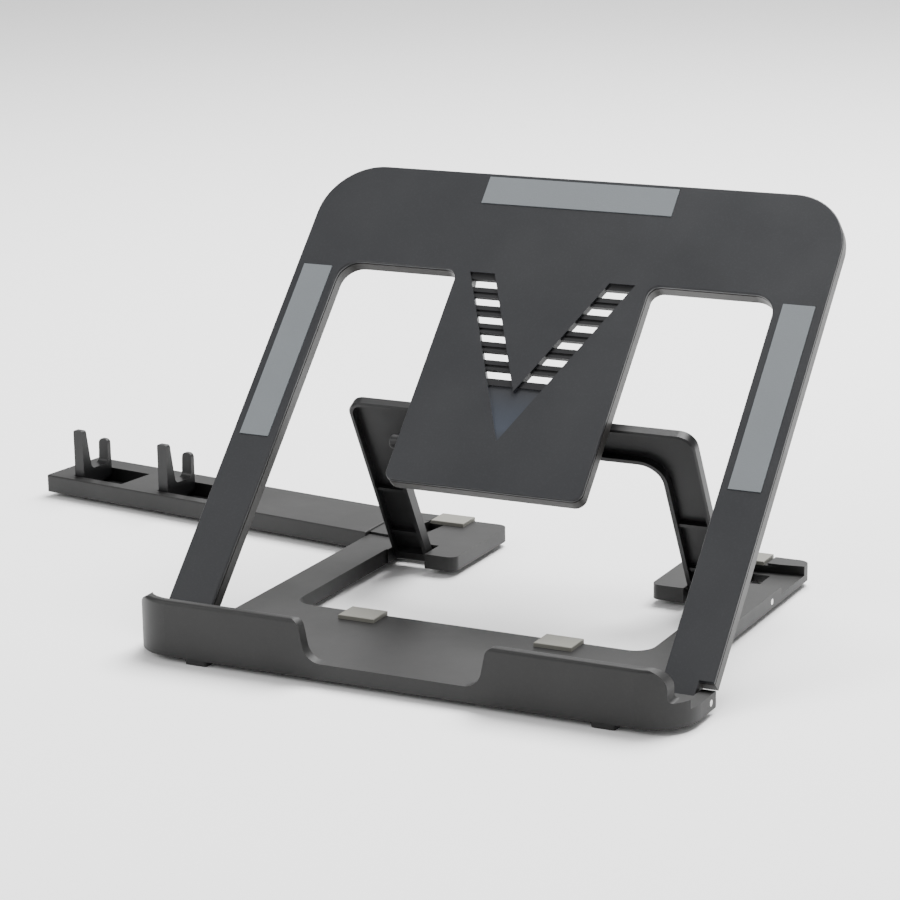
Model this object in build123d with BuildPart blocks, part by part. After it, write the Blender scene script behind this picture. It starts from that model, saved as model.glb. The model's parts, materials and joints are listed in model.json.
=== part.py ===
"""Folding laptop stand: U-shaped base, ventilated platform, swinging prop and plug-in phone bar.

Millimetres, +Z up.  The origin is on the table at the centre of the base's footprint.
The laptop is used from the -Y side.  Left is -X.
"""

import os
from math import asin, atan2, cos, degrees, hypot, radians, sin

from build123d import *

os.makedirs("parts", exist_ok=True)

SIDES = (("left", -1), ("right", 1))

# ---- driving dimensions -------------------------------------------------------------------
overall_width = 280.0        # platform and front bar
base_depth = 236.2           # front face to rear edge
base_thickness = 7.5
foot_height = 3.0

bar_depth = 75.2             # front bar, front face to rear edge
corner_depth = 39.8          # full-width part of the front bar
corner_radius = 22.0
arm_inset = 26.7             # front bar's end to an arm's outer wall
arm_width = 20.8
plate_inner = 53.5           # centre to a rear plate's inner end
plate_depth = 64.1
arm_fillet = 10.0
plate_front_radius = 4.5
plate_rear_radius = 6.0
shell_skin = 2.6             # top skin over the hollow underside
pocket_pitch = 41.0
bar_pockets = 5
arm_pocket = 26.0
arm_hollow_end = 50.0        # the arms' hollows are centred between the bar and here

lip_height = 19.5            # laptop stops, above the base top
lip_thickness = 5.5
lip_inner = 47.5             # centre to a lip's inner end, at its top
lip_inner_lean = 4.0
lip_left_inset = 3.0         # front bar's end to a stop's outer end
lip_right_inset = 8.5
corner_rim = 4.0             # low wall that carries on round the corners
lip_reach = 14.0             # how far a lip runs round the corner
lip_inner_radius = 5.0
lip_outer_radius = 10.0
lip_flare = 9.0
lip_outer_flare = 2.2
lip_edge_radius = 1.8

pin_radius = 1.5
pin_clearance = 0.05
side_clearance = 0.8

hinge_setback = 34.2         # front face to the platform's hinge axis
hinge_height = 6.7           # above the table
knuckle_width = 6.7          # outer ear of a base corner
knuckle_radius = 3.5
tab_gap = 0.4                # between a tab and the outer ear
platform_pin_length = 36.0

platform_length = 264.7      # hinge axis to top edge
platform_thickness = 7.6
platform_rise = 3.5          # top face above the hinge axis
platform_corner = 30.0
leg_width = 24.1
leg_start = 8.0              # hinge axis to the end of a leg's outer part
window_top = 207.1
window_outer_radius = 11.0
window_inner_radius = 6.0
tongue_half_width = 51.2
tongue_end = 87.9
tongue_radius = 5.0
edge_round = 0.7
seam_drop = 1.5              # parting line below the top face
seam_height = 0.7
seam_depth = 0.5
web = 3.0                    # ribs of the hollow underside
platform_hollow = 4.2
top_pockets = 5
top_pocket_pitch = 40.0
leg_pockets = 5
leg_pocket = 37.0
leg_hollow_start = 20.0
vee_pocket_width = 42.0
vee_pocket_top = 211.0

pad_recess = 1.2
pad_gap = 0.25
pad_proud = 0.3
top_pad_inset = 1.9          # from the platform's top edge
top_pad_depth = 16.2
side_pad_start = 103.2
side_pad_length = 100.1
side_pad_inset = 3.9         # from the platform's side
side_pad_width = 16.4

vee_top = 206.5
vee_outer = 44.0
vee_inner = 30.6
vee_tip = 114.4
vee_crotch = 142.0
vee_recess = 1.2
vee_ramp_top = 145.0         # the ramp ends below the lowest slot
ramp_shallow = 0.5
ramp_deep = 2.0
slot_count = 6
slot_pitch = 10.0
slot_height = 4.6
slot_first = 148.65          # lower edge of the lowest slot
slat_groove = 0.8
slat_groove_start = 1.6
slat_groove_width = 1.3

rail_width = 6.6
rail_inset = 1.5             # from the tongue's edge
rail_start = 95.0
rail_end = 224.0
rail_depth = 9.8             # rails' underside below the top face
tip_clearance = 0.3
tooth_land = 0.8
notch_depth = 2.4
first_notch = 9.5
rail_seat = 3.4              # how far a rail is let into the plate
tooth_swings = [2 + 6 * step for step in range(9)]

knob_radius = 3.4
knob_length = 4.6
knob_place = 110.7
knob_level = 0.6             # share of the thickness above the knob's centre
knob_stub = 3.0
knob_stub_radius = 1.5
knob_edge = 0.6

prop_setback = 55.1          # rear edge to the prop's pivot axis
prop_height = 6.5            # pivot above the table
prop_inset = 21.8            # arm's outer wall to the prop's side
prop_leg = 20.0
prop_length = 104.0
prop_bar = 20.0
prop_thickness = 6.0
prop_wall = 2.2
prop_floor = 2.0
prop_outer_radius = 8.0
prop_inner_radius = 11.0
prop_rest_angle = 62.5
prop_foot_solid = 4.0
prop_ribs = (17.0, 46.0)
prop_rib = 2.0
prop_rib_drop = 1.2          # ribs stop below the channel's rim
prop_edge = 0.8
prop_slot_depth = 16.5
prop_pin_length = 51.3
follow_ratio = -0.32         # platform tilt per degree of prop swing

base_pad_width = 19.0
base_pad_depth = 13.0
base_pad_thickness = 2.0
base_pad_wrap = 1.3
base_pad_drop = 2.0
base_pad_edge = 0.5
front_pad_centre = 51.0
rear_pad_inset = 29.8        # arm's outer wall to a rear pad's centre
foot_width = 12.2
foot_length = 12.0
front_foot_inset = 37.3      # front bar's end to a foot's centre
rear_foot_inset = 13.3       # arm's outer wall to a foot's centre
foot_inset = 1.0
foot_taper = 8.0
foot_corner = 1.5

bar_angle = 7.5              # the phone bar leans back from the X axis
bar_y = 93.4                 # centre line where it leaves the base
phone_bar_length = 216.8
phone_bar_width = 45.0
phone_bar_thickness = 9.5
phone_bar_end_radius = 2.0
phone_bar_edge = 0.8
tenon_length = 18.0
tenon_width = 32.0
tenon_shift = 1.6            # towards the front
joint_gap = 0.3
bar_overlap = 6.0            # tenon's run into the bar
hook_length = 4.4
socket_floor = 3.8           # thickness left under a socket
socket_length = 26.5
socket_mouth = 4.0           # the cut's run out through the arm's slanting mouth
rim_height = 1.0
rim_depth = 11.5
rim_width = 18.8
latch_inset = 24.4           # arm's outer wall to a latch hole's far side
latch_width = 9.1
latch_length = 15.0
latch_front = 86.0

clip_places = (("outer", 198.0), ("inner", 138.0))
clip_width = 6.5
clip_front = 15.5
clip_back = 8.0
clip_front_height = 26.2     # above the bar's top
clip_back_height = 17.0
clip_tip = 3.2
clip_root = 7.0
clip_back_thickness = 3.2
clip_saddle = 3.5
clip_saddle_radius = 3.0
clip_lean = 0.8
clip_front_round = 1.2
clip_back_round = 2.4
clip_pin_radius = 1.0
clip_axis_height = 6.0       # above the bar's underside
clip_pin_front = 19.5
well_floor = 2.0
well_side = 0.5
well_end = 0.8

overcut = 1.0                # how far a cut runs past a face
nearly = 0.1                 # tolerance for picking edges and corners

# ---- worked-out places --------------------------------------------------------------------
half_width = overall_width / 2
arm_half_span = half_width - arm_inset
latch_inner = arm_half_span - latch_inset
prop_half_width = arm_half_span - prop_inset
top_pad_start = platform_length - top_pad_inset - top_pad_depth
side_pad_inner = half_width - side_pad_inset - side_pad_width
front_y = -base_depth / 2
rear_y = base_depth / 2
base_bottom = foot_height
base_top = base_bottom + base_thickness
lip_top = base_top + lip_height
bar_rear_y = front_y + bar_depth
corner_rear_y = front_y + corner_depth
corner_centre_y = front_y + corner_radius
plate_front_y = rear_y - plate_depth
arm_centre = arm_half_span - arm_width / 2
shell_depth = base_thickness - shell_skin
hinge_y = front_y + hinge_setback
prop_y = rear_y - prop_setback
leg_inner = half_width - leg_width
tab_outer = half_width - knuckle_width
slot_inner = leg_inner - side_clearance
socket_z = base_bottom + socket_floor
bar_top = base_bottom + phone_bar_thickness
clip_axis_z = base_bottom + clip_axis_height
front_tip = bar_top - clip_axis_z + clip_front_height
back_tip = bar_top - clip_axis_z + clip_back_height
saddle = bar_top - clip_axis_z + clip_saddle
well_back = clip_width / 2 + well_end
well_length = well_back + front_tip + well_end
prop_inner = prop_half_width - prop_leg
tab_width = tab_outer - leg_inner - tab_gap
tab_slot_front = hinge_y - knuckle_radius - side_clearance
tab_slot_length = corner_rear_y - tab_slot_front + overcut
rail_centre = tongue_half_width - rail_inset - rail_width / 2
knob_height = platform_rise - platform_thickness * knob_level
rim_top = base_top + corner_rim
lip_ends = ((-1, half_width - lip_left_inset), (1, half_width - lip_right_inset))

# the platform rests where the prop's tip is just clear of the rails' underside
lean = radians(prop_rest_angle)
tip_back = prop_y - hinge_y - prop_length * cos(lean) - prop_thickness / 2 * sin(lean)
tip_up = prop_height - hinge_height + prop_length * sin(lean) - prop_thickness / 2 * cos(lean)
tip_drop = asin((rail_depth + tip_clearance - platform_rise) / hypot(tip_back, tip_up))
tilt = atan2(tip_up, tip_back) + tip_drop
rest_tilt = degrees(tilt)

platform_plane = Plane(
    origin=(0, hinge_y, hinge_height), x_dir=(1, 0, 0), z_dir=(0, -sin(tilt), cos(tilt))
)
platform_top = platform_plane.offset(platform_rise)
platform_under = platform_plane.offset(platform_rise - platform_thickness)
platform_normal = Axis(platform_plane.origin, platform_plane.z_dir)

outer_slope = vee_outer / (vee_top - vee_tip)
inner_slope = vee_inner / (vee_top - vee_crotch)
ramp_length = vee_ramp_top - vee_tip
ramp_angle = degrees(atan2(ramp_deep - ramp_shallow, ramp_length))
ramp_start = platform_top.from_local_coords((0, vee_tip, -ramp_shallow))
ramp_plane = Plane(origin=ramp_start, x_dir=(1, 0, 0), z_dir=platform_top.z_dir)
ramp_plane = ramp_plane.rotated((-ramp_angle, 0, 0))

prop_plane = Plane(
    origin=(0, prop_y, prop_height), x_dir=(1, 0, 0), z_dir=(0, -sin(lean), -cos(lean))
)
prop_back = prop_plane.offset(-prop_thickness / 2)
prop_floor_plane = prop_back.offset(prop_floor)


def socket_plane(side, height):
    """Plane along the phone bar's line on one side: local X runs outward, +Z is up."""
    turn = radians(bar_angle)
    outward = (side * cos(turn), sin(turn), 0)
    return Plane(origin=(side * arm_half_span, bar_y, height), x_dir=outward, z_dir=(0, 0, 1))


def prop_tip(swing):
    """Front edge of the prop's tip, along and above the platform, after a swing in degrees."""
    angle = radians(prop_rest_angle + swing)
    slope = radians(rest_tilt + follow_ratio * swing)
    half = prop_thickness / 2
    back = prop_y - hinge_y - prop_length * cos(angle) - half * sin(angle)
    up = prop_height - hinge_height + prop_length * sin(angle) - half * cos(angle)
    along = back * cos(slope) + up * sin(slope)
    above = up * cos(slope) - back * sin(slope)
    return along, above - platform_rise


def rail_outline():
    """Toothed underside of a rail; the tooth tips follow the prop's tip with a clearance."""
    seat = rail_seat - platform_thickness
    tips = []
    for swing in tooth_swings:
        along, above = prop_tip(swing)
        tips.append((along, max(above + tip_clearance, -rail_depth)))
    points = [(rail_end, seat), (rail_start, seat), (rail_start, -rail_depth)]
    points.append((tips[0][0] - first_notch, -rail_depth))
    for along, above in tips:
        points += [(along - tooth_land, above + notch_depth), (along - tooth_land, above), (along, above)]
    points.append((rail_end, -rail_depth))
    return [(along, above + platform_rise) for along, above in points]


def side_plane(x):
    """Plane across the hinge axis: local X runs up the platform, local Y is its normal."""
    return Plane(origin=(x, hinge_y, hinge_height), x_dir=platform_plane.y_dir, z_dir=(1, 0, 0))


def vee_band(side, low, high):
    """The stretch of one V arm between two heights on the platform."""
    return [
        (side * inner_slope * (low - vee_crotch), low), (side * outer_slope * (low - vee_tip), low),
        (side * outer_slope * (high - vee_tip), high), (side * inner_slope * (high - vee_crotch), high),
    ]


def clip_plane(place):
    """Plane across the phone bar at a clip's pin: local X runs to the front, local Y is up."""
    bar = socket_plane(-1, clip_axis_z)
    return Plane(origin=bar.from_local_coords((place, 0, 0)), x_dir=bar.y_dir, z_dir=bar.x_dir)


def clip_pin_plane(place):
    """Plane on the bar's rear face, facing along a clip's pin to the front."""
    bar = socket_plane(-1, clip_axis_z)
    start = bar.from_local_coords((place, -phone_bar_width / 2, 0))
    return Plane(origin=start, x_dir=bar.x_dir, z_dir=bar.y_dir)


def between(shapes, axis, low, high):
    """The vertices or edges whose place along an axis is between two values."""
    return shapes.filter_by_position(axis, low, high)


def at_level(shapes, axis, level):
    """The vertices or edges that lie at one value along an axis."""
    return between(shapes, axis, level - nearly, level + nearly)


def mirrored(points):
    """The same outline on the -X side."""
    return [(-x, y) for x, y in points]


# ---- base frame ---------------------------------------------------------------------------
with BuildPart() as base_frame:
    with BuildSketch(Plane.XY.offset(base_bottom)) as tray:
        with Locations((0, front_y + corner_depth / 2)):
            Rectangle(overall_width, corner_depth)
        fillet(tray.vertices().group_by(Axis.Y)[0], corner_radius)
        with Locations((0, (corner_centre_y + bar_rear_y) / 2)):
            Rectangle(2 * arm_half_span, bar_rear_y - corner_centre_y)
        for name, side in SIDES:
            with Locations((side * arm_centre, (bar_rear_y + rear_y) / 2)):
                Rectangle(arm_width, rear_y - bar_rear_y)
            plate_width = arm_half_span - plate_inner
            with Locations((side * (plate_inner + plate_width / 2), rear_y - plate_depth / 2)):
                Rectangle(plate_width, plate_depth)
        inside = between(tray.vertices(), Axis.X, nearly - arm_half_span, arm_half_span - nearly)
        fillet(at_level(inside, Axis.Y, bar_rear_y), arm_fillet)
        ends = between(tray.vertices(), Axis.X, -plate_inner - nearly, plate_inner + nearly)
        fillet(at_level(ends, Axis.Y, plate_front_y), plate_front_radius)
        fillet(tray.vertices().group_by(Axis.Y)[-1], plate_rear_radius)
    extrude(amount=base_thickness)

    # laptop stops: a wall along the front edge and round both corners
    with BuildSketch(Plane.XY.offset(base_top)) as wall:
        with Locations((0, front_y + corner_depth / 2)):
            Rectangle(overall_width, corner_depth)
        fillet(wall.vertices().group_by(Axis.Y)[0], corner_radius)
        with BuildSketch(Plane.XY, mode=Mode.PRIVATE) as inner_wall:
            with Locations((0, front_y + lip_thickness + corner_depth / 2)):
                Rectangle(overall_width - 2 * lip_thickness, corner_depth)
            fillet(inner_wall.vertices().group_by(Axis.Y)[0], corner_radius - lip_thickness)
        add(inner_wall.sketch, mode=Mode.SUBTRACT)
        with Locations((0, front_y + lip_reach + corner_depth / 2)):
            Rectangle(overall_width, corner_depth, mode=Mode.SUBTRACT)
    extrude(amount=lip_height)
    fillet(base_frame.faces().sort_by(Axis.Z)[-1].edges(), lip_edge_radius)

    # the gap between the stops and their sloping ends
    above = lip_top + overcut
    with BuildSketch(Plane.XZ.offset(overcut - front_y)) as gap_profile:
        centre_gap = [
            (lip_inner - lip_inner_lean, base_top), (lip_inner, lip_top), (lip_inner + lip_flare, lip_top),
            (lip_inner + lip_flare, above),
        ]
        with BuildLine():
            Polyline(*centre_gap, *reversed(mirrored(centre_gap)), close=True)
        make_face()
        fillet(at_level(gap_profile.vertices(), Axis.Y, base_top), lip_flare)
        tops = between(gap_profile.vertices(), Axis.X, -lip_inner - nearly, lip_inner + nearly)
        fillet(at_level(tops, Axis.Y, lip_top), lip_inner_radius)
    extrude(amount=-corner_depth, mode=Mode.SUBTRACT)
    for side, lip_end in lip_ends:
        with BuildSketch(Plane.XZ.offset(overcut - front_y)) as end_profile:
            outer_end = [
                (side * lip_end, rim_top), (side * lip_end, lip_top),
                (side * (lip_end - 2 * lip_outer_radius), lip_top),
                (side * (lip_end - 2 * lip_outer_radius), above),
                (side * (half_width + overcut), above), (side * (half_width + overcut), rim_top),
            ]
            with BuildLine():
                Polyline(*outer_end, close=True)
            make_face()
            ends = at_level(end_profile.vertices(), Axis.X, side * lip_end)
            fillet(ends.sort_by(Axis.Y)[-1], lip_outer_radius)
            ends = at_level(end_profile.vertices(), Axis.X, side * lip_end)
            fillet(ends.sort_by(Axis.Y)[0], lip_outer_flare)
        extrude(amount=-corner_depth, mode=Mode.SUBTRACT)

    # raised rims behind the sockets
    with BuildSketch(Plane.XY.offset(base_top)):
        for name, side in SIDES:
            with BuildSketch(mode=Mode.PRIVATE) as rim:
                with Locations((side * (arm_half_span - rim_width / 2), rear_y - rim_depth / 2)):
                    Rectangle(rim_width, rim_depth)
                outer = at_level(rim.vertices(), Axis.X, side * arm_half_span)
                fillet(outer.sort_by(Axis.Y)[-1], plate_rear_radius)
            add(rim.sketch_local)
    extrude(amount=rim_height)

    # hollow underside
    with BuildSketch(Plane.XY.offset(base_bottom)):
        with Locations((0, front_y + bar_depth / 2)):
            with GridLocations(pocket_pitch, bar_depth / 2 - web / 2, bar_pockets, 2):
                Rectangle(pocket_pitch - web, bar_depth / 2 - 2 * web)
        for name, side in SIDES:
            with Locations((side * arm_centre, (bar_rear_y + arm_hollow_end) / 2)):
                with GridLocations(0, arm_pocket, 1, 3):
                    Rectangle(arm_width - 2 * web, arm_pocket - web)
    extrude(amount=shell_depth, mode=Mode.SUBTRACT)

    # slots for the platform's tabs, the prop's feet, and the sockets' latch holes
    with BuildSketch(Plane.XY.offset(base_bottom - overcut)):
        for name, side in SIDES:
            tab_slot = tab_outer - slot_inner
            with Locations((side * (slot_inner + tab_slot / 2), tab_slot_front + tab_slot_length / 2)):
                Rectangle(tab_slot, tab_slot_length)
            foot_slot = prop_leg + side_clearance
            foot_slot_centre = prop_half_width - prop_leg / 2 - side_clearance / 2
            with Locations((side * foot_slot_centre, plate_front_y + prop_slot_depth / 2)):
                Rectangle(foot_slot, prop_slot_depth)
            with Locations((side * (latch_inner + latch_width / 2), latch_front + latch_length / 2)):
                Rectangle(latch_width, latch_length)
    extrude(amount=base_thickness + rim_height + 2 * overcut, mode=Mode.SUBTRACT)

    # sockets for the phone bar, open outwards
    for name, side in SIDES:
        with BuildSketch(socket_plane(side, socket_z)):
            with Locations(((socket_mouth - socket_length) / 2, -side * tenon_shift)):
                Rectangle(socket_length + socket_mouth, tenon_width + 2 * joint_gap)
        extrude(amount=base_thickness + rim_height, mode=Mode.SUBTRACT)

    # bores that hold the four pins
    for name, side in SIDES:
        with BuildSketch(Plane.YZ.offset(side * half_width)):
            with Locations((hinge_y, hinge_height)):
                Circle(pin_radius)
        extrude(amount=-side * platform_pin_length, mode=Mode.SUBTRACT)
        with BuildSketch(Plane.YZ.offset(side * arm_half_span)):
            with Locations((prop_y, prop_height)):
                Circle(pin_radius)
        extrude(amount=-side * prop_pin_length, mode=Mode.SUBTRACT)

base_frame.part.label = "base_frame"
export_step(base_frame.part, "parts/base_frame.step")

# ---- pins ---------------------------------------------------------------------------------
for name, side in SIDES:
    with BuildPart() as platform_pin:
        with BuildSketch(Plane.YZ.offset(side * half_width)):
            with Locations((hinge_y, hinge_height)):
                Circle(pin_radius)
        extrude(amount=-side * platform_pin_length)
    platform_pin.part.label = f"platform_pin_{name}"
    export_step(platform_pin.part, f"parts/platform_pin_{name}.step")

    with BuildPart() as prop_pin:
        with BuildSketch(Plane.YZ.offset(side * arm_half_span)):
            with Locations((prop_y, prop_height)):
                Circle(pin_radius)
        extrude(amount=-side * prop_pin_length)
    prop_pin.part.label = f"prop_pin_{name}"
    export_step(prop_pin.part, f"parts/prop_pin_{name}.step")

# ---- feet and base pads -------------------------------------------------------------------
feet = (
    ("front", half_width - front_foot_inset, front_y + foot_inset),
    ("rear", arm_half_span - rear_foot_inset, rear_y - foot_inset - foot_length),
)
for row, centre, start in feet:
    for name, side in SIDES:
        with BuildPart() as foot:
            with BuildSketch(Plane.XY.offset(base_bottom)):
                with Locations((side * centre, start + foot_length / 2)):
                    RectangleRounded(foot_width, foot_length, foot_corner)
            extrude(amount=-foot_height, taper=foot_taper)
        foot.part.label = f"foot_{row}_{name}"
        export_step(foot.part, f"parts/foot_{row}_{name}.step")

pads = (("front", front_pad_centre, bar_rear_y), ("rear", arm_half_span - rear_pad_inset, rear_y))
for row, centre, edge in pads:
    for name, side in SIDES:
        with BuildPart() as base_pad:
            with BuildSketch(Plane.YZ.offset(side * centre - base_pad_width / 2)) as pad_profile:
                with BuildLine():
                    Polyline(
                        (edge - base_pad_depth, base_top), (edge, base_top),
                        (edge, base_top - base_pad_drop), (edge + base_pad_wrap, base_top - base_pad_drop),
                        (edge + base_pad_wrap, base_top + base_pad_thickness),
                        (edge - base_pad_depth, base_top + base_pad_thickness), close=True)
                make_face()
            extrude(amount=base_pad_width)
            crown = base_pad.faces().sort_by(Axis.Z)[-1]
            fillet(crown.edges(), base_pad_edge)
        base_pad.part.label = f"base_pad_{row}_{name}"
        export_step(base_pad.part, f"parts/base_pad_{row}_{name}.step")

# ---- platform -----------------------------------------------------------------------------
with BuildPart() as platform_frame:
    with BuildSketch(platform_under) as outline:
        with Locations((0, (leg_start + platform_length) / 2)):
            Rectangle(overall_width, platform_length - leg_start)
        fillet(outline.vertices().group_by(Axis.Y)[-1], platform_corner)
        with Locations((0, window_top / 2)):
            Rectangle(2 * leg_inner, window_top, mode=Mode.SUBTRACT)
        with Locations((0, (tongue_end + window_top) / 2)):
            Rectangle(2 * tongue_half_width, window_top - tongue_end)
        tops = at_level(outline.vertices(), Axis.Y, window_top)
        fillet(tops.group_by(Axis.X)[0] + tops.group_by(Axis.X)[-1], window_outer_radius)
        tops = at_level(outline.vertices(), Axis.Y, window_top)
        inner_tops = between(tops, Axis.X, -tongue_half_width - nearly, tongue_half_width + nearly)
        fillet(inner_tops, window_inner_radius)
        fillet(at_level(outline.vertices(), Axis.Y, tongue_end), tongue_radius)
    extrude(amount=platform_thickness)
    crown = platform_frame.faces().filter_by(platform_normal).sort_by(platform_normal)[-1]
    fillet(crown.edges(), edge_round)

    # parting line round the outer edge
    with BuildSketch(platform_top.offset(-seam_drop)):
        add(outline.sketch_local)
        offset(amount=overcut, mode=Mode.ADD)
        with BuildSketch(mode=Mode.PRIVATE) as core:
            add(outline.sketch_local)
            offset(amount=-seam_depth, mode=Mode.REPLACE)
        add(core.sketch_local, mode=Mode.SUBTRACT)
    extrude(amount=-seam_height, mode=Mode.SUBTRACT)

    # hollow underside: top bar, side legs and the back of the vents
    with BuildSketch(platform_under):
        with Locations((0, (window_top + platform_length) / 2 + web)):
            with GridLocations(top_pocket_pitch, 0, top_pockets, 1):
                Rectangle(top_pocket_pitch - web, platform_length - window_top - 4 * web)
        for name, side in SIDES:
            with Locations((side * (half_width - leg_width / 2), (leg_hollow_start + window_top) / 2)):
                with GridLocations(0, leg_pocket, 1, leg_pockets):
                    Rectangle(leg_width - 2 * web, leg_pocket - web)
            with Locations((side * (vee_pocket_width + web) / 2, (vee_crotch + vee_pocket_top) / 2)):
                Rectangle(vee_pocket_width, vee_pocket_top - vee_crotch)
        with Locations((0, (tongue_end + vee_crotch) / 2)):
            Rectangle(2 * vee_pocket_width - 2 * web, vee_crotch - tongue_end - 2 * web)
    extrude(amount=platform_hollow, mode=Mode.SUBTRACT)

    # recessed V arms and the ramp that joins them at the tip
    with BuildSketch(platform_top):
        for side in (-1, 1):
            with BuildLine():
                Polyline(*vee_band(side, vee_ramp_top, vee_top), close=True)
            make_face()
    extrude(amount=-vee_recess, mode=Mode.SUBTRACT)
    with BuildSketch(ramp_plane):
        with BuildLine():
            Polyline(
                (0, 0), (outer_slope * ramp_length, ramp_length),
                (inner_slope * (vee_ramp_top - vee_crotch), ramp_length), (0, vee_crotch - vee_tip),
                (-inner_slope * (vee_ramp_top - vee_crotch), ramp_length),
                (-outer_slope * ramp_length, ramp_length), close=True)
        make_face()
    extrude(amount=ramp_deep + overcut, mode=Mode.SUBTRACT)

    # louvre slots through the arms, and a groove along each slat
    with BuildSketch(platform_top):
        for side in (-1, 1):
            for step in range(slot_count):
                low = slot_first + step * slot_pitch
                with BuildLine():
                    Polyline(*vee_band(side, low, low + slot_height), close=True)
                make_face()
    extrude(amount=-platform_thickness - overcut, mode=Mode.SUBTRACT)
    with BuildSketch(platform_top):
        for side in (-1, 1):
            for step in range(slot_count - 1):
                low = slot_first + step * slot_pitch + slot_height + slat_groove_start
                with BuildLine():
                    Polyline(*vee_band(side, low, low + slat_groove_width), close=True)
                make_face()
    extrude(amount=-vee_recess - slat_groove, mode=Mode.SUBTRACT)

    # seats of the three pads
    with BuildSketch(platform_top):
        with Locations((0, top_pad_start + top_pad_depth / 2)):
            Rectangle(2 * tongue_half_width, top_pad_depth)
        for name, side in SIDES:
            side_pad_centre = side * (side_pad_inner + side_pad_width / 2)
            with Locations((side_pad_centre, side_pad_start + side_pad_length / 2)):
                Rectangle(side_pad_width, side_pad_length)
    extrude(amount=-pad_recess, mode=Mode.SUBTRACT)

    # toothed rails under the tongue's edges
    for name, side in SIDES:
        with BuildSketch(side_plane(side * rail_centre - rail_width / 2)):
            with Locations(((rail_start + rail_end) / 2, platform_rise - platform_thickness)):
                Rectangle(rail_end - rail_start, 2 * rail_seat)
        extrude(amount=rail_width, mode=Mode.SUBTRACT)
        with BuildSketch(side_plane(side * rail_centre - rail_width / 2)):
            with BuildLine():
                Polyline(*rail_outline(), close=True)
            make_face()
        extrude(amount=rail_width)

    # tabs round the hinge pins
    for name, side in SIDES:
        inner = side * leg_inner
        with BuildSketch(side_plane(inner)):
            Circle(knuckle_radius)
            with Locations(((leg_start + overcut) / 2, 0)):
                Rectangle(leg_start + overcut, 2 * knuckle_radius)
        extrude(amount=side * tab_width)
        with BuildSketch(side_plane(inner)):
            Circle(pin_radius + pin_clearance)
        extrude(amount=side * tab_width, mode=Mode.SUBTRACT)

    # hole for the side knob
    with BuildSketch(side_plane(-tongue_half_width)):
        with Locations((knob_place, knob_height)):
            Circle(knob_stub_radius)
    extrude(amount=knob_stub, mode=Mode.SUBTRACT)
platform_frame.part.label = "platform_frame"
export_step(platform_frame.part, "parts/platform_frame.step")

platform_pads = (
    ("top", 0, top_pad_start, 2 * tongue_half_width, top_pad_depth),
    ("left", -side_pad_inner - side_pad_width / 2, side_pad_start, side_pad_width, side_pad_length),
    ("right", side_pad_inner + side_pad_width / 2, side_pad_start, side_pad_width, side_pad_length),
)
for name, centre, start, width, length in platform_pads:
    with BuildPart() as platform_pad:
        with BuildSketch(platform_top.offset(-pad_recess)):
            with Locations((centre, start + length / 2)):
                Rectangle(width - 2 * pad_gap, length - 2 * pad_gap)
        extrude(amount=pad_recess + pad_proud)
    platform_pad.part.label = f"platform_pad_{name}"
    export_step(platform_pad.part, f"parts/platform_pad_{name}.step")

with BuildPart() as side_knob:
    with BuildSketch(side_plane(-tongue_half_width)):
        with Locations((knob_place, knob_height)):
            Circle(knob_radius)
    extrude(amount=-knob_length)
    fillet(side_knob.edges().filter_by(GeomType.CIRCLE).sort_by(Axis.X)[0], knob_edge)
    with BuildSketch(side_plane(-tongue_half_width)):
        with Locations((knob_place, knob_height)):
            Circle(knob_stub_radius)
    extrude(amount=knob_stub)
side_knob.part.label = "side_knob"
export_step(side_knob.part, "parts/side_knob.step")

# ---- prop ---------------------------------------------------------------------------------
with BuildPart() as prop_frame:
    with BuildSketch(prop_back) as prop_outline:
        with Locations((0, prop_length / 2)):
            Rectangle(2 * prop_half_width, prop_length)
        fillet(prop_outline.vertices().group_by(Axis.Y)[-1], prop_outer_radius)
        with Locations((0, (prop_length - prop_bar) / 2)):
            Rectangle(2 * prop_inner, prop_length - prop_bar, mode=Mode.SUBTRACT)
        fillet(at_level(prop_outline.vertices(), Axis.Y, prop_length - prop_bar), prop_inner_radius)
    extrude(amount=prop_thickness)
    # rounded feet about the pivot
    for name, side in SIDES:
        with BuildSketch(Plane.YZ.offset(side * prop_inner)):
            with Locations((prop_y, prop_height)):
                Circle(prop_thickness / 2)
        extrude(amount=side * prop_leg)
    # channel open to the front
    with BuildSketch(prop_floor_plane):
        add(prop_outline.sketch_local)
        offset(amount=-prop_wall, mode=Mode.REPLACE)
        with Locations((0, prop_foot_solid / 2)):
            Rectangle(2 * prop_half_width, prop_foot_solid, mode=Mode.SUBTRACT)
    extrude(amount=prop_thickness, mode=Mode.SUBTRACT)
    with BuildSketch(prop_back):
        for name, side in SIDES:
            for place in prop_ribs:
                with Locations((side * (prop_half_width - prop_leg / 2), place)):
                    Rectangle(prop_leg - prop_wall, prop_rib)
    extrude(amount=prop_thickness - prop_rib_drop)
    long_edges = prop_frame.edges().filter_by(Axis.X).filter_by(lambda edge: edge.length > prop_half_width)
    chamfer(long_edges.sort_by(Axis.Z)[-2:], prop_edge)
    for name, side in SIDES:
        with BuildSketch(Plane.YZ.offset(side * (prop_inner - overcut))):
            with Locations((prop_y, prop_height)):
                Circle(pin_radius + pin_clearance)
        extrude(amount=side * (prop_leg + 2 * overcut), mode=Mode.SUBTRACT)
prop_frame.part.label = "prop_frame"
export_step(prop_frame.part, "parts/prop_frame.step")

# ---- phone bar and its clips --------------------------------------------------------------
inner_end = Plane(origin=(-arm_half_span - joint_gap, 0, 0), z_dir=(-1, 0, 0))

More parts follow.
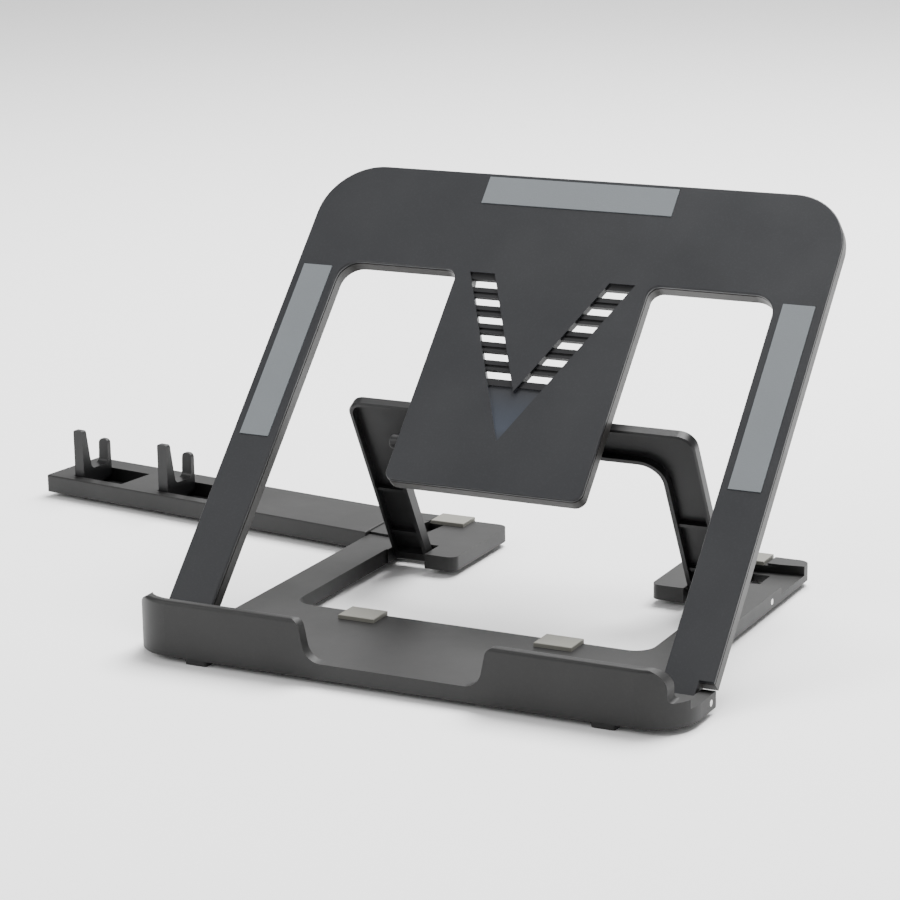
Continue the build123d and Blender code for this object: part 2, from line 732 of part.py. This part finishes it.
with BuildPart() as phone_bar:
    with BuildSketch(socket_plane(-1, base_bottom)) as bar_outline:
        with Locations(((phone_bar_length - bar_overlap) / 2, 0)):
            Rectangle(phone_bar_length + bar_overlap, phone_bar_width)
        fillet(bar_outline.vertices().group_by(Axis.X)[-1], phone_bar_end_radius)
    extrude(amount=phone_bar_thickness)
    split(bisect_by=inner_end, keep=Keep.TOP)
    fillet(phone_bar.faces().filter_by(Axis.Z).sort_by(Axis.Z)[-1].edges(), phone_bar_edge)
    # tenon that lies in the socket, with its latch hook
    with BuildSketch(socket_plane(-1, socket_z)):
        with Locations(((bar_overlap - tenon_length) / 2, tenon_shift)):
            Rectangle(tenon_length + bar_overlap, tenon_width)
    extrude(amount=bar_top - phone_bar_edge - socket_z)
    with BuildSketch(Plane.XY.offset(socket_z)):
        hook_centre = hook_length / 2 + joint_gap - latch_inner - latch_width
        with Locations((hook_centre, latch_front + latch_length / 2)):
            Rectangle(hook_length, latch_length - 2 * joint_gap)
    extrude(amount=-socket_floor)
    # wells, pin bores
    for name, place in clip_places:
        with BuildSketch(socket_plane(-1, base_bottom + well_floor)):
            with Locations((place + well_back - well_length / 2, (clip_front - clip_back) / 2)):
                Rectangle(well_length, clip_front + clip_back + 2 * well_side)
        extrude(amount=phone_bar_thickness, mode=Mode.SUBTRACT)
        with BuildSketch(clip_pin_plane(place)):
            Circle(clip_pin_radius)
        extrude(amount=phone_bar_width / 2 + clip_pin_front, mode=Mode.SUBTRACT)
phone_bar.part.label = "phone_bar"
export_step(phone_bar.part, "parts/phone_bar.step")

for name, place in clip_places:
    with BuildPart() as clip:
        with BuildSketch(clip_plane(place).offset(-clip_width / 2)) as fork:
            with BuildLine():
                Polyline(
                    (clip_front, 0), (clip_front, front_tip), (clip_front - clip_tip, front_tip),
                    (clip_front - clip_root, saddle), (clip_back_thickness - clip_back, saddle),
                    (clip_back_thickness - clip_back - clip_lean, back_tip), (-clip_back, back_tip),
                    (-clip_back, 0), close=True)
            make_face()
            fillet(at_level(fork.vertices(), Axis.Y, saddle), clip_saddle_radius)
        extrude(amount=clip_width)
        back_top = clip.faces().filter_by(Axis.Z).sort_by(Axis.Z)[-2]
        lengthwise = clip_plane(place).x_dir
        across = [edge for edge in back_top.edges() if abs(edge.tangent_at(0).dot(lengthwise)) > nearly]
        fillet(across, clip_back_round)
        front_top = clip.faces().filter_by(Axis.Z).sort_by(Axis.Z)[-1]
        across = [edge for edge in front_top.edges() if abs(edge.tangent_at(0).dot(lengthwise)) > nearly]
        fillet(across, clip_front_round)
        with BuildSketch(clip_pin_plane(place).offset(phone_bar_width / 2 - clip_back)):
            Circle(clip_width / 2)
        extrude(amount=clip_front + clip_back)
        with BuildSketch(clip_pin_plane(place)):
            Circle(clip_pin_radius + pin_clearance)
        extrude(amount=phone_bar_width, mode=Mode.SUBTRACT)
    clip.part.label = f"clip_{name}"
    export_step(clip.part, f"parts/clip_{name}.step")

    with BuildPart() as clip_pin:
        with BuildSketch(clip_pin_plane(place)):
            Circle(clip_pin_radius)
        extrude(amount=phone_bar_width / 2 + clip_pin_front)
    clip_pin.part.label = f"clip_pin_{name}"
    export_step(clip_pin.part, f"parts/clip_pin_{name}.step")
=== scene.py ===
"""Studio picture of the folding laptop stand: materials, floor, soft light and camera."""

import json
import math

import bpy
from mathutils import Matrix, Vector


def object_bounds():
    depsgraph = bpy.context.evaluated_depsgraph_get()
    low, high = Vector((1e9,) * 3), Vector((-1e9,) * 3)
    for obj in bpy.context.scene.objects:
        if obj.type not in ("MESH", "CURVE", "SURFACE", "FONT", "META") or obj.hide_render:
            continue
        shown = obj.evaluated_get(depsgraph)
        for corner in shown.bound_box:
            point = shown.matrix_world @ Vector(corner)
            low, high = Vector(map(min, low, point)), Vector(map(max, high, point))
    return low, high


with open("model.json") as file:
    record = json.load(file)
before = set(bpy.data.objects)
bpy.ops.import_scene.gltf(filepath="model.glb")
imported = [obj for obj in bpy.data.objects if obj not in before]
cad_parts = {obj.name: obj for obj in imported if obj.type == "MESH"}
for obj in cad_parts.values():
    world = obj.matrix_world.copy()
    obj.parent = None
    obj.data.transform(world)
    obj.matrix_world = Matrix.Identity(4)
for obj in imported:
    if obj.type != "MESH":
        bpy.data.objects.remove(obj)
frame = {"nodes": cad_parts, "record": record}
cad_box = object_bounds()

# ---- sizes, in metres -----------------------------------------------------------------------
# the platform's plane at rest
TILT = math.radians(46.13)
NORMAL = (0, -math.sin(TILT), math.cos(TILT))
CLIMB = (0, math.cos(TILT), math.sin(TILT))
HINGE = Vector((0, -0.0839, 0.0067))
TOP_ABOVE_HINGE = 0.0035
TOP_LEVEL = HINGE.dot(Vector(NORMAL)) + TOP_ABOVE_HINGE
HINGE_LEVEL = HINGE.dot(Vector(CLIMB))

# borders of the platform's colours, which paint a floor reflection on the sides, shade in the vents and
# a sheen on the ramp, each from where the change starts to where it ends:
# heights are measured from the top face, climbs along the slope from the hinge
SIDE_HEIGHT = (-0.0016, -0.0012)
RECESS_HEIGHT = (-0.0008, -0.0004)
RECESS_HALF_WIDTH = (0.0455, 0.0460)
RAMP_FOOT_CLIMB = (0.1125, 0.1130)
RAMP_HEAD_CLIMB = (0.1448, 0.1452)
# painted sheen on the ramp: full strength at the foot of its climb, fading to a quarter at its head
RAMP_PAINTED_SHEEN_CLIMB = (0.116, 0.145)
RAMP_PAINTED_SHEEN_LEAST = 0.25

# textures
PLASTIC_GRAIN = 0.0005
COARSE_PLASTIC_GRAIN = 0.0006
PLASTIC_GRAIN_DEPTH = 0.00003
PLASTIC_CLOUDS = 0.12
PLASTIC_STREAKS = 0.02
HAZE_SIZE = 0.05
WAVINESS = 0.04
WAVINESS_DEPTH = 0.0003
SILICONE_CELLS = 0.0008
SILICONE_CELL_DEPTH = 0.00005
SILICONE_GRAIN_DEPTH = 0.00004
SILICONE_DUST = 0.0012
SILICONE_CLOUDS = 0.05
LATHE_LINES = 0.0002
STAINS = 0.002
PAPER_FIBRES = 0.004
PAPER_CLOUDS = 1.5
FINEST_DEPTH = 0.00002

SATIN_SPECULAR = 0.35


# ---- node helpers ---------------------------------------------------------------------------
def new_material(name):
    material = bpy.data.materials.new(name)
    material.use_nodes = True
    tree = material.node_tree
    return material, tree, tree.nodes["Principled BSDF"]


def object_coordinates(tree, stretch=(1, 1, 1)):
    """Coordinates in metres that ride with the piece, scaled along each axis."""
    coordinates = tree.nodes.new("ShaderNodeTexCoord")
    mapping = tree.nodes.new("ShaderNodeMapping")
    mapping.inputs["Scale"].default_value = stretch
    tree.links.new(coordinates.outputs["Object"], mapping.inputs["Vector"])
    return mapping.outputs["Vector"]


def noise(tree, where, size, detail=3.0, roughness=0.55):
    """Noise whose features are about `size` metres across."""
    node = tree.nodes.new("ShaderNodeTexNoise")
    node.inputs["Scale"].default_value = 1 / size
    node.inputs["Detail"].default_value = detail
    node.inputs["Roughness"].default_value = roughness
    tree.links.new(where, node.inputs["Vector"])
    return node.outputs["Fac"]


def spread(tree, value, low, high, start=0.35, end=0.65):
    """Goes from low to high as the value goes from start to end, and stays there beyond them."""
    node = tree.nodes.new("ShaderNodeMapRange")
    node.inputs["From Min"].default_value = start
    node.inputs["From Max"].default_value = end
    node.inputs["To Min"].default_value = low
    node.inputs["To Max"].default_value = high
    tree.links.new(value, node.inputs["Value"])
    return node.outputs["Result"]


def above(tree, value, border):
    """A mask that is on where the value is over the border."""
    return spread(tree, value, 0, 1, *border)


def below(tree, value, border):
    """A mask that is on where the value is under the border."""
    return spread(tree, value, 1, 0, *border)


def arithmetic(tree, operation, first, second=None):
    """A Math node on one or two sockets, or on a socket and a number."""
    node = tree.nodes.new("ShaderNodeMath")
    node.operation = operation
    tree.links.new(first, node.inputs[0])
    if isinstance(second, float):
        node.inputs[1].default_value = second
    elif second is not None:
        tree.links.new(second, node.inputs[1])
    return node.outputs["Value"]


def both(tree, first, second):
    """A mask that is on where both masks are on."""
    return arithmetic(tree, "MULTIPLY", first, second)


def along(tree, where, direction, start=0.0):
    """Distance along a direction, measured from `start`."""
    product = tree.nodes.new("ShaderNodeVectorMath")
    product.operation = "DOT_PRODUCT"
    product.inputs[1].default_value = direction
    tree.links.new(where, product.inputs[0])
    return arithmetic(tree, "SUBTRACT", product.outputs["Value"], start)


def blend_colours(tree, factor, first, second):
    """The first colour where the factor is 0 and the second where it is 1."""
    node = tree.nodes.new("ShaderNodeMix")
    node.data_type = "RGBA"
    tree.links.new(factor, node.inputs["Factor"])
    for socket, colour in ((node.inputs[6], first), (node.inputs[7], second)):
        if isinstance(colour, tuple):
            socket.default_value = (*colour, 1)
        else:
            tree.links.new(colour, socket)
    return node.outputs[2]


def bumps(tree, layers):
    """A chain of bump nodes: (height, depth in metres, strength) each."""
    normal = None
    for height, depth, strength in layers:
        node = tree.nodes.new("ShaderNodeBump")
        node.inputs["Distance"].default_value = depth
        node.inputs["Strength"].default_value = strength
        tree.links.new(height, node.inputs["Height"])
        if normal is not None:
            tree.links.new(normal, node.inputs["Normal"])
        normal = node.outputs["Normal"]
    return normal


def shade(colour, factor):
    return tuple(channel * factor for channel in colour)


# ---- materials ------------------------------------------------------------------------------
def plastic_colour(tree, where, colour, grain):
    """Pigment of moulded plastic: slow clouds, flow streaks and sparkle of the grain."""
    clouds = noise(tree, where, PLASTIC_CLOUDS, detail=2)
    streaks = noise(tree, object_coordinates(tree, (1, 0.12, 0.12)), PLASTIC_STREAKS, detail=4)
    speckle = noise(tree, where, grain * 2, detail=1)
    tint = blend_colours(tree, spread(tree, clouds, 0, 1), shade(colour, 0.95), shade(colour, 1.05))
    tint = blend_colours(tree, spread(tree, streaks, 0, 0.3, 0.45, 0.75), tint, shade(colour, 1.10))
    return blend_colours(tree, spread(tree, speckle, 0, 0.35, 0.5, 0.72), tint, shade(colour, 1.5))


def finish_plastic(tree, shader, where, tint, gloss, grain):
    """Satin shine with handling haze, and spark-eroded grain over a faint waviness."""
    tree.links.new(tint, shader.inputs["Base Color"])
    haze = noise(tree, where, HAZE_SIZE, detail=4)
    tree.links.new(spread(tree, haze, gloss - 0.03, gloss + 0.04), shader.inputs["Roughness"])
    wavy = noise(tree, where, WAVINESS, detail=1)
    fine = noise(tree, where, grain, detail=2, roughness=0.7)
    normal = bumps(tree, ((wavy, WAVINESS_DEPTH, 0.15), (fine, PLASTIC_GRAIN_DEPTH, 0.6)))
    tree.links.new(normal, shader.inputs["Normal"])
    shader.inputs["Specular IOR Level"].default_value = SATIN_SPECULAR


def moulded_plastic(name, colour, gloss):
    """Satin moulded plastic of one colour."""
    material, tree, shader = new_material(name)
    where = object_coordinates(tree)
    tint = plastic_colour(tree, where, colour, COARSE_PLASTIC_GRAIN)
    finish_plastic(tree, shader, where, tint, gloss, COARSE_PLASTIC_GRAIN)
    return material


def platform_plastic(name, top, sides_painted_reflection, vent_painted_shade, ramp_painted_sheen, gloss):
    """Satin plastic with painted light: a painted floor reflection on its sides, painted shade in its
    vents and a painted sheen on its ramp.
    """
    material, tree, shader = new_material(name)
    where = object_coordinates(tree)
    height = along(tree, where, NORMAL, TOP_LEVEL)
    climb = along(tree, where, CLIMB, HINGE_LEVEL)
    half_width = arithmetic(tree, "ABSOLUTE", along(tree, where, (1, 0, 0)))

    recess = both(tree, below(tree, half_width, RECESS_HALF_WIDTH), below(tree, height, RECESS_HEIGHT))
    # where the vent recess gets painted shade
    vent_painted_shade_mask = both(tree, recess, above(tree, climb, RAMP_HEAD_CLIMB))
    # where the ramp gets its painted sheen
    at_ramp = both(tree, recess, below(tree, climb, RAMP_HEAD_CLIMB))
    at_ramp = both(tree, at_ramp, above(tree, climb, RAMP_FOOT_CLIMB))
    # painted sheen, strongest at the ramp's foot and fading up the slope
    painted_sheen = spread(tree, climb, 1, RAMP_PAINTED_SHEEN_LEAST, *RAMP_PAINTED_SHEEN_CLIMB)

    tint = plastic_colour(tree, where, top, PLASTIC_GRAIN)
    # painted floor reflection on the sides, below the top face
    tint = blend_colours(tree, below(tree, height, SIDE_HEIGHT), tint, sides_painted_reflection)
    # painted shade in the vent recess
    tint = blend_colours(tree, vent_painted_shade_mask, tint, vent_painted_shade)
    # painted sheen on the ramp
    tint = blend_colours(tree, both(tree, at_ramp, painted_sheen), tint, ramp_painted_sheen)
    finish_plastic(tree, shader, where, tint, gloss, PLASTIC_GRAIN)
    return material


def silicone(name, colour):
    """Matte silicone rubber with a leathery micro-texture and a little dust."""
    material, tree, shader = new_material(name)
    where = object_coordinates(tree)
    clouds = noise(tree, where, SILICONE_CLOUDS, detail=3)
    dust = noise(tree, where, SILICONE_DUST, detail=4, roughness=0.8)
    tint = blend_colours(tree, spread(tree, clouds, 0, 1), shade(colour, 0.96), shade(colour, 1.04))
    tint = blend_colours(tree, spread(tree, dust, 0, 0.3, 0.52, 0.75), tint, shade(colour, 1.22))
    tree.links.new(tint, shader.inputs["Base Color"])
    tree.links.new(spread(tree, clouds, 0.62, 0.74), shader.inputs["Roughness"])
    cells = tree.nodes.new("ShaderNodeTexVoronoi")
    cells.inputs["Scale"].default_value = 1 / SILICONE_CELLS
    tree.links.new(where, cells.inputs["Vector"])
    fine = noise(tree, where, SILICONE_CELLS / 2, detail=3)
    normal = bumps(tree, ((cells.outputs["Distance"], SILICONE_CELL_DEPTH, 0.5),
                          (fine, SILICONE_GRAIN_DEPTH, 0.6)))
    tree.links.new(normal, shader.inputs["Normal"])
    shader.inputs["Sheen Weight"].default_value = 0.05
    shader.inputs["Sheen Roughness"].default_value = 0.5
    return material


def steel(name, dark, light):
    """Turned steel pin: fine lathe lines and slight staining."""
    material, tree, shader = new_material(name)
    lines = noise(tree, object_coordinates(tree, (1, 0.05, 0.05)), LATHE_LINES, detail=2)
    stains = noise(tree, object_coordinates(tree), STAINS, detail=3)
    tint = blend_colours(tree, spread(tree, stains, 0, 1), dark, light)
    tree.links.new(tint, shader.inputs["Base Color"])
    tree.links.new(spread(tree, stains, 0.18, 0.34), shader.inputs["Roughness"])
    tree.links.new(bumps(tree, ((lines, FINEST_DEPTH, 0.5),)), shader.inputs["Normal"])
    shader.inputs["Metallic"].default_value = 1.0
    return material


def paper(name, colour):
    """Seamless studio paper."""
    material, tree, shader = new_material(name)
    where = object_coordinates(tree)
    fibres = noise(tree, where, PAPER_FIBRES, detail=4)
    clouds = noise(tree, where, PAPER_CLOUDS, detail=1)
    tint = blend_colours(tree, spread(tree, clouds, 0, 1), shade(colour, 0.985), colour)
    tree.links.new(tint, shader.inputs["Base Color"])
    tree.links.new(bumps(tree, ((fibres, FINEST_DEPTH, 0.2),)), shader.inputs["Normal"])
    shader.inputs["Roughness"].default_value = 0.9
    return material


MATERIALS = {
    "base_plastic": moulded_plastic("base_plastic", (0.0075, 0.0074, 0.0073), gloss=0.48),
    "platform_plastic": platform_plastic("platform_plastic",
                                         top=(0.0165, 0.0172, 0.0192),
                                         # the sides colour is a painted reflection of the floor
                                         sides_painted_reflection=(0.0190, 0.0180, 0.0170),
                                         # the vents colour is painted shade
                                         vent_painted_shade=(0.0100, 0.0100, 0.0110),
                                         # the ramp colour is a painted sheen
                                         ramp_painted_sheen=(0.0300, 0.0370, 0.0520),
                                         gloss=0.40),
    "dark_plastic": moulded_plastic("dark_plastic", (0.0050, 0.0050, 0.0054), gloss=0.42),
    "platform_pad_rubber": silicone("platform_pad_rubber", (0.112, 0.124, 0.133)),
    "base_pad_rubber": silicone("base_pad_rubber", (0.165, 0.162, 0.142)),
    "foot_rubber": silicone("foot_rubber", (0.010, 0.010, 0.010)),
    "pin_steel": steel("pin_steel", dark=(0.52, 0.52, 0.53), light=(0.78, 0.77, 0.75)),
}

for part in frame["record"]["subparts"]:
    mesh = frame["nodes"][part["node"]].data
    for index in range(len(mesh.materials)):
        mesh.materials[index] = MATERIALS[part["material_slot"]]


# ---- floor, light, camera -------------------------------------------------------------------
def add_floor(size, colour):
    bpy.ops.mesh.primitive_plane_add(size=size, location=(0, 0, 0))
    floor = bpy.context.object
    floor.name = "floor"
    floor.data.materials.append(paper("studio_paper", colour))


def set_world(colour, strength):
    world = bpy.data.worlds.new("studio")
    bpy.context.scene.world = world
    world.use_nodes = True
    background = world.node_tree.nodes["Background"]
    background.inputs["Color"].default_value = (*colour, 1)
    background.inputs["Strength"].default_value = strength


def add_softbox(name, place, target, width, height, power):
    """A rectangular lamp in `place` that faces `target`, with its power in watts."""
    light = bpy.data.lights.new(name, "AREA")
    light.shape = "RECTANGLE"
    light.size = width
    light.size_y = height
    light.energy = power
    lamp = bpy.data.objects.new(name, light)
    lamp.location = place
    lamp.rotation_euler = (Vector(target) - Vector(place)).to_track_quat("-Z", "Y").to_euler()
    bpy.context.collection.objects.link(lamp)


def add_camera(place, turn, drop, roll, lens):
    """Camera turned left of +Y by `turn`, looking down by `drop`, tilted by `roll`, in degrees."""
    turn, drop, roll = (math.radians(angle) for angle in (turn, drop, roll))
    ahead = Vector((-math.sin(turn) * math.cos(drop), math.cos(turn) * math.cos(drop), -math.sin(drop)))
    level = Vector((math.cos(turn), math.sin(turn), 0))
    upright = level.cross(ahead)
    right = level * math.cos(roll) + upright * math.sin(roll)
    up = upright * math.cos(roll) - level * math.sin(roll)
    camera = bpy.data.objects.new("camera", bpy.data.cameras.new("camera"))
    camera.data.lens = lens
    camera.data.clip_start = 0.05
    axes = Matrix((right, up, -ahead)).transposed().to_4x4()
    camera.matrix_world = Matrix.Translation(place) @ axes
    bpy.context.collection.objects.link(camera)
    bpy.context.scene.camera = camera


centre = (Vector(cad_box[0]) + Vector(cad_box[1])) / 2
add_floor(60, (0.97, 0.97, 0.97))
set_world((1.0, 1.0, 1.0), 0.55)
add_softbox("overhead", (0.2, 0.9, 2.0), centre, width=1.6, height=1.6, power=150)
add_softbox("backdrop", (-0.5, 3.4, 1.3), (0, 0, 0.2), width=4.0, height=1.6, power=22)
add_softbox("key", (-1.5, -1.5, 1.3), centre, width=1.2, height=1.0, power=24)
add_softbox("front", (0.4, -2.6, 0.9), centre, width=2.0, height=1.0, power=5)
add_camera((0.58564, -1.21744, 0.44326), turn=26.75, drop=14.81, roll=-0.86, lens=117.8)
